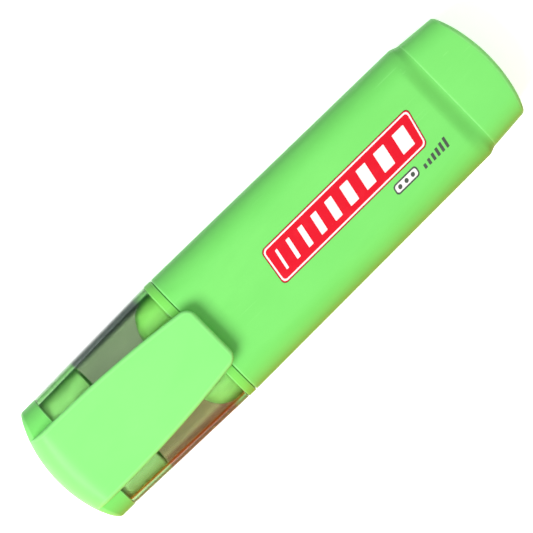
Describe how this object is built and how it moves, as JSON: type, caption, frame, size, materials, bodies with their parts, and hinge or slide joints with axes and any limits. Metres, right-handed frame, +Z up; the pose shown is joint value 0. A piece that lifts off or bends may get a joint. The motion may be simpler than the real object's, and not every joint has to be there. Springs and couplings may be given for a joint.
{
  "type": "highlighter",
  "caption": "Flat highlighter with a chisel nib, a fibre reservoir, a tapered barrel with a tail plug, and a pull-off see-through cap with a wide clip that flexes.",
  "frame": {"origin": "on the plane the pen lies on, below the middle of its length and width", "axes": "+X along the pen from the cap's end to the tail, +Y across its width, +Z up through the flat face that carries the clip"},
  "size_m": [0.11, 0.0276, 0.0193],
  "materials": {
    "barrel": "light green moulded plastic, satin",
    "tail_plug": "light green moulded plastic, satin",
    "front_section": "light green moulded plastic, satin",
    "nib": "bonded fibre soaked with green ink",
    "reservoir_fibre": "fibre soaked with green ink",
    "reservoir_film": "clear film",
    "cap_sleeve": "smoky see-through plastic, polished",
    "cap_end_plug": "light green moulded plastic, satin",
    "inner_cap": "natural milky plastic",
    "clip": "light green moulded plastic, satin"
  },
  "bodies": {
    "pen": {"barrel": "barrel", "tail_plug": "tail_plug", "front_section": "front_section", "nib": "nib", "reservoir_fibre": "reservoir_fibre", "reservoir_film": "reservoir_film"},
    "cap": {"cap_sleeve": "cap_sleeve", "cap_end_plug": "cap_end_plug", "inner_cap": "inner_cap"},
    "clip": {"clip": "clip"}
  },
  "joints": [
    {"name": "cap_pull", "type": "slide", "parent": "pen", "child": "cap", "axis": [-1, 0, 0], "range_m": [0, 0.04]},
    {"name": "clip_flex", "type": "hinge", "parent": "cap", "child": "clip", "pos_m": [-0.0479, 0, 0.01934], "axis": [0, -1, 0], "range_deg": [0, 4.5], "stiffness_Nm_per_rad": 0.9}
  ]
}
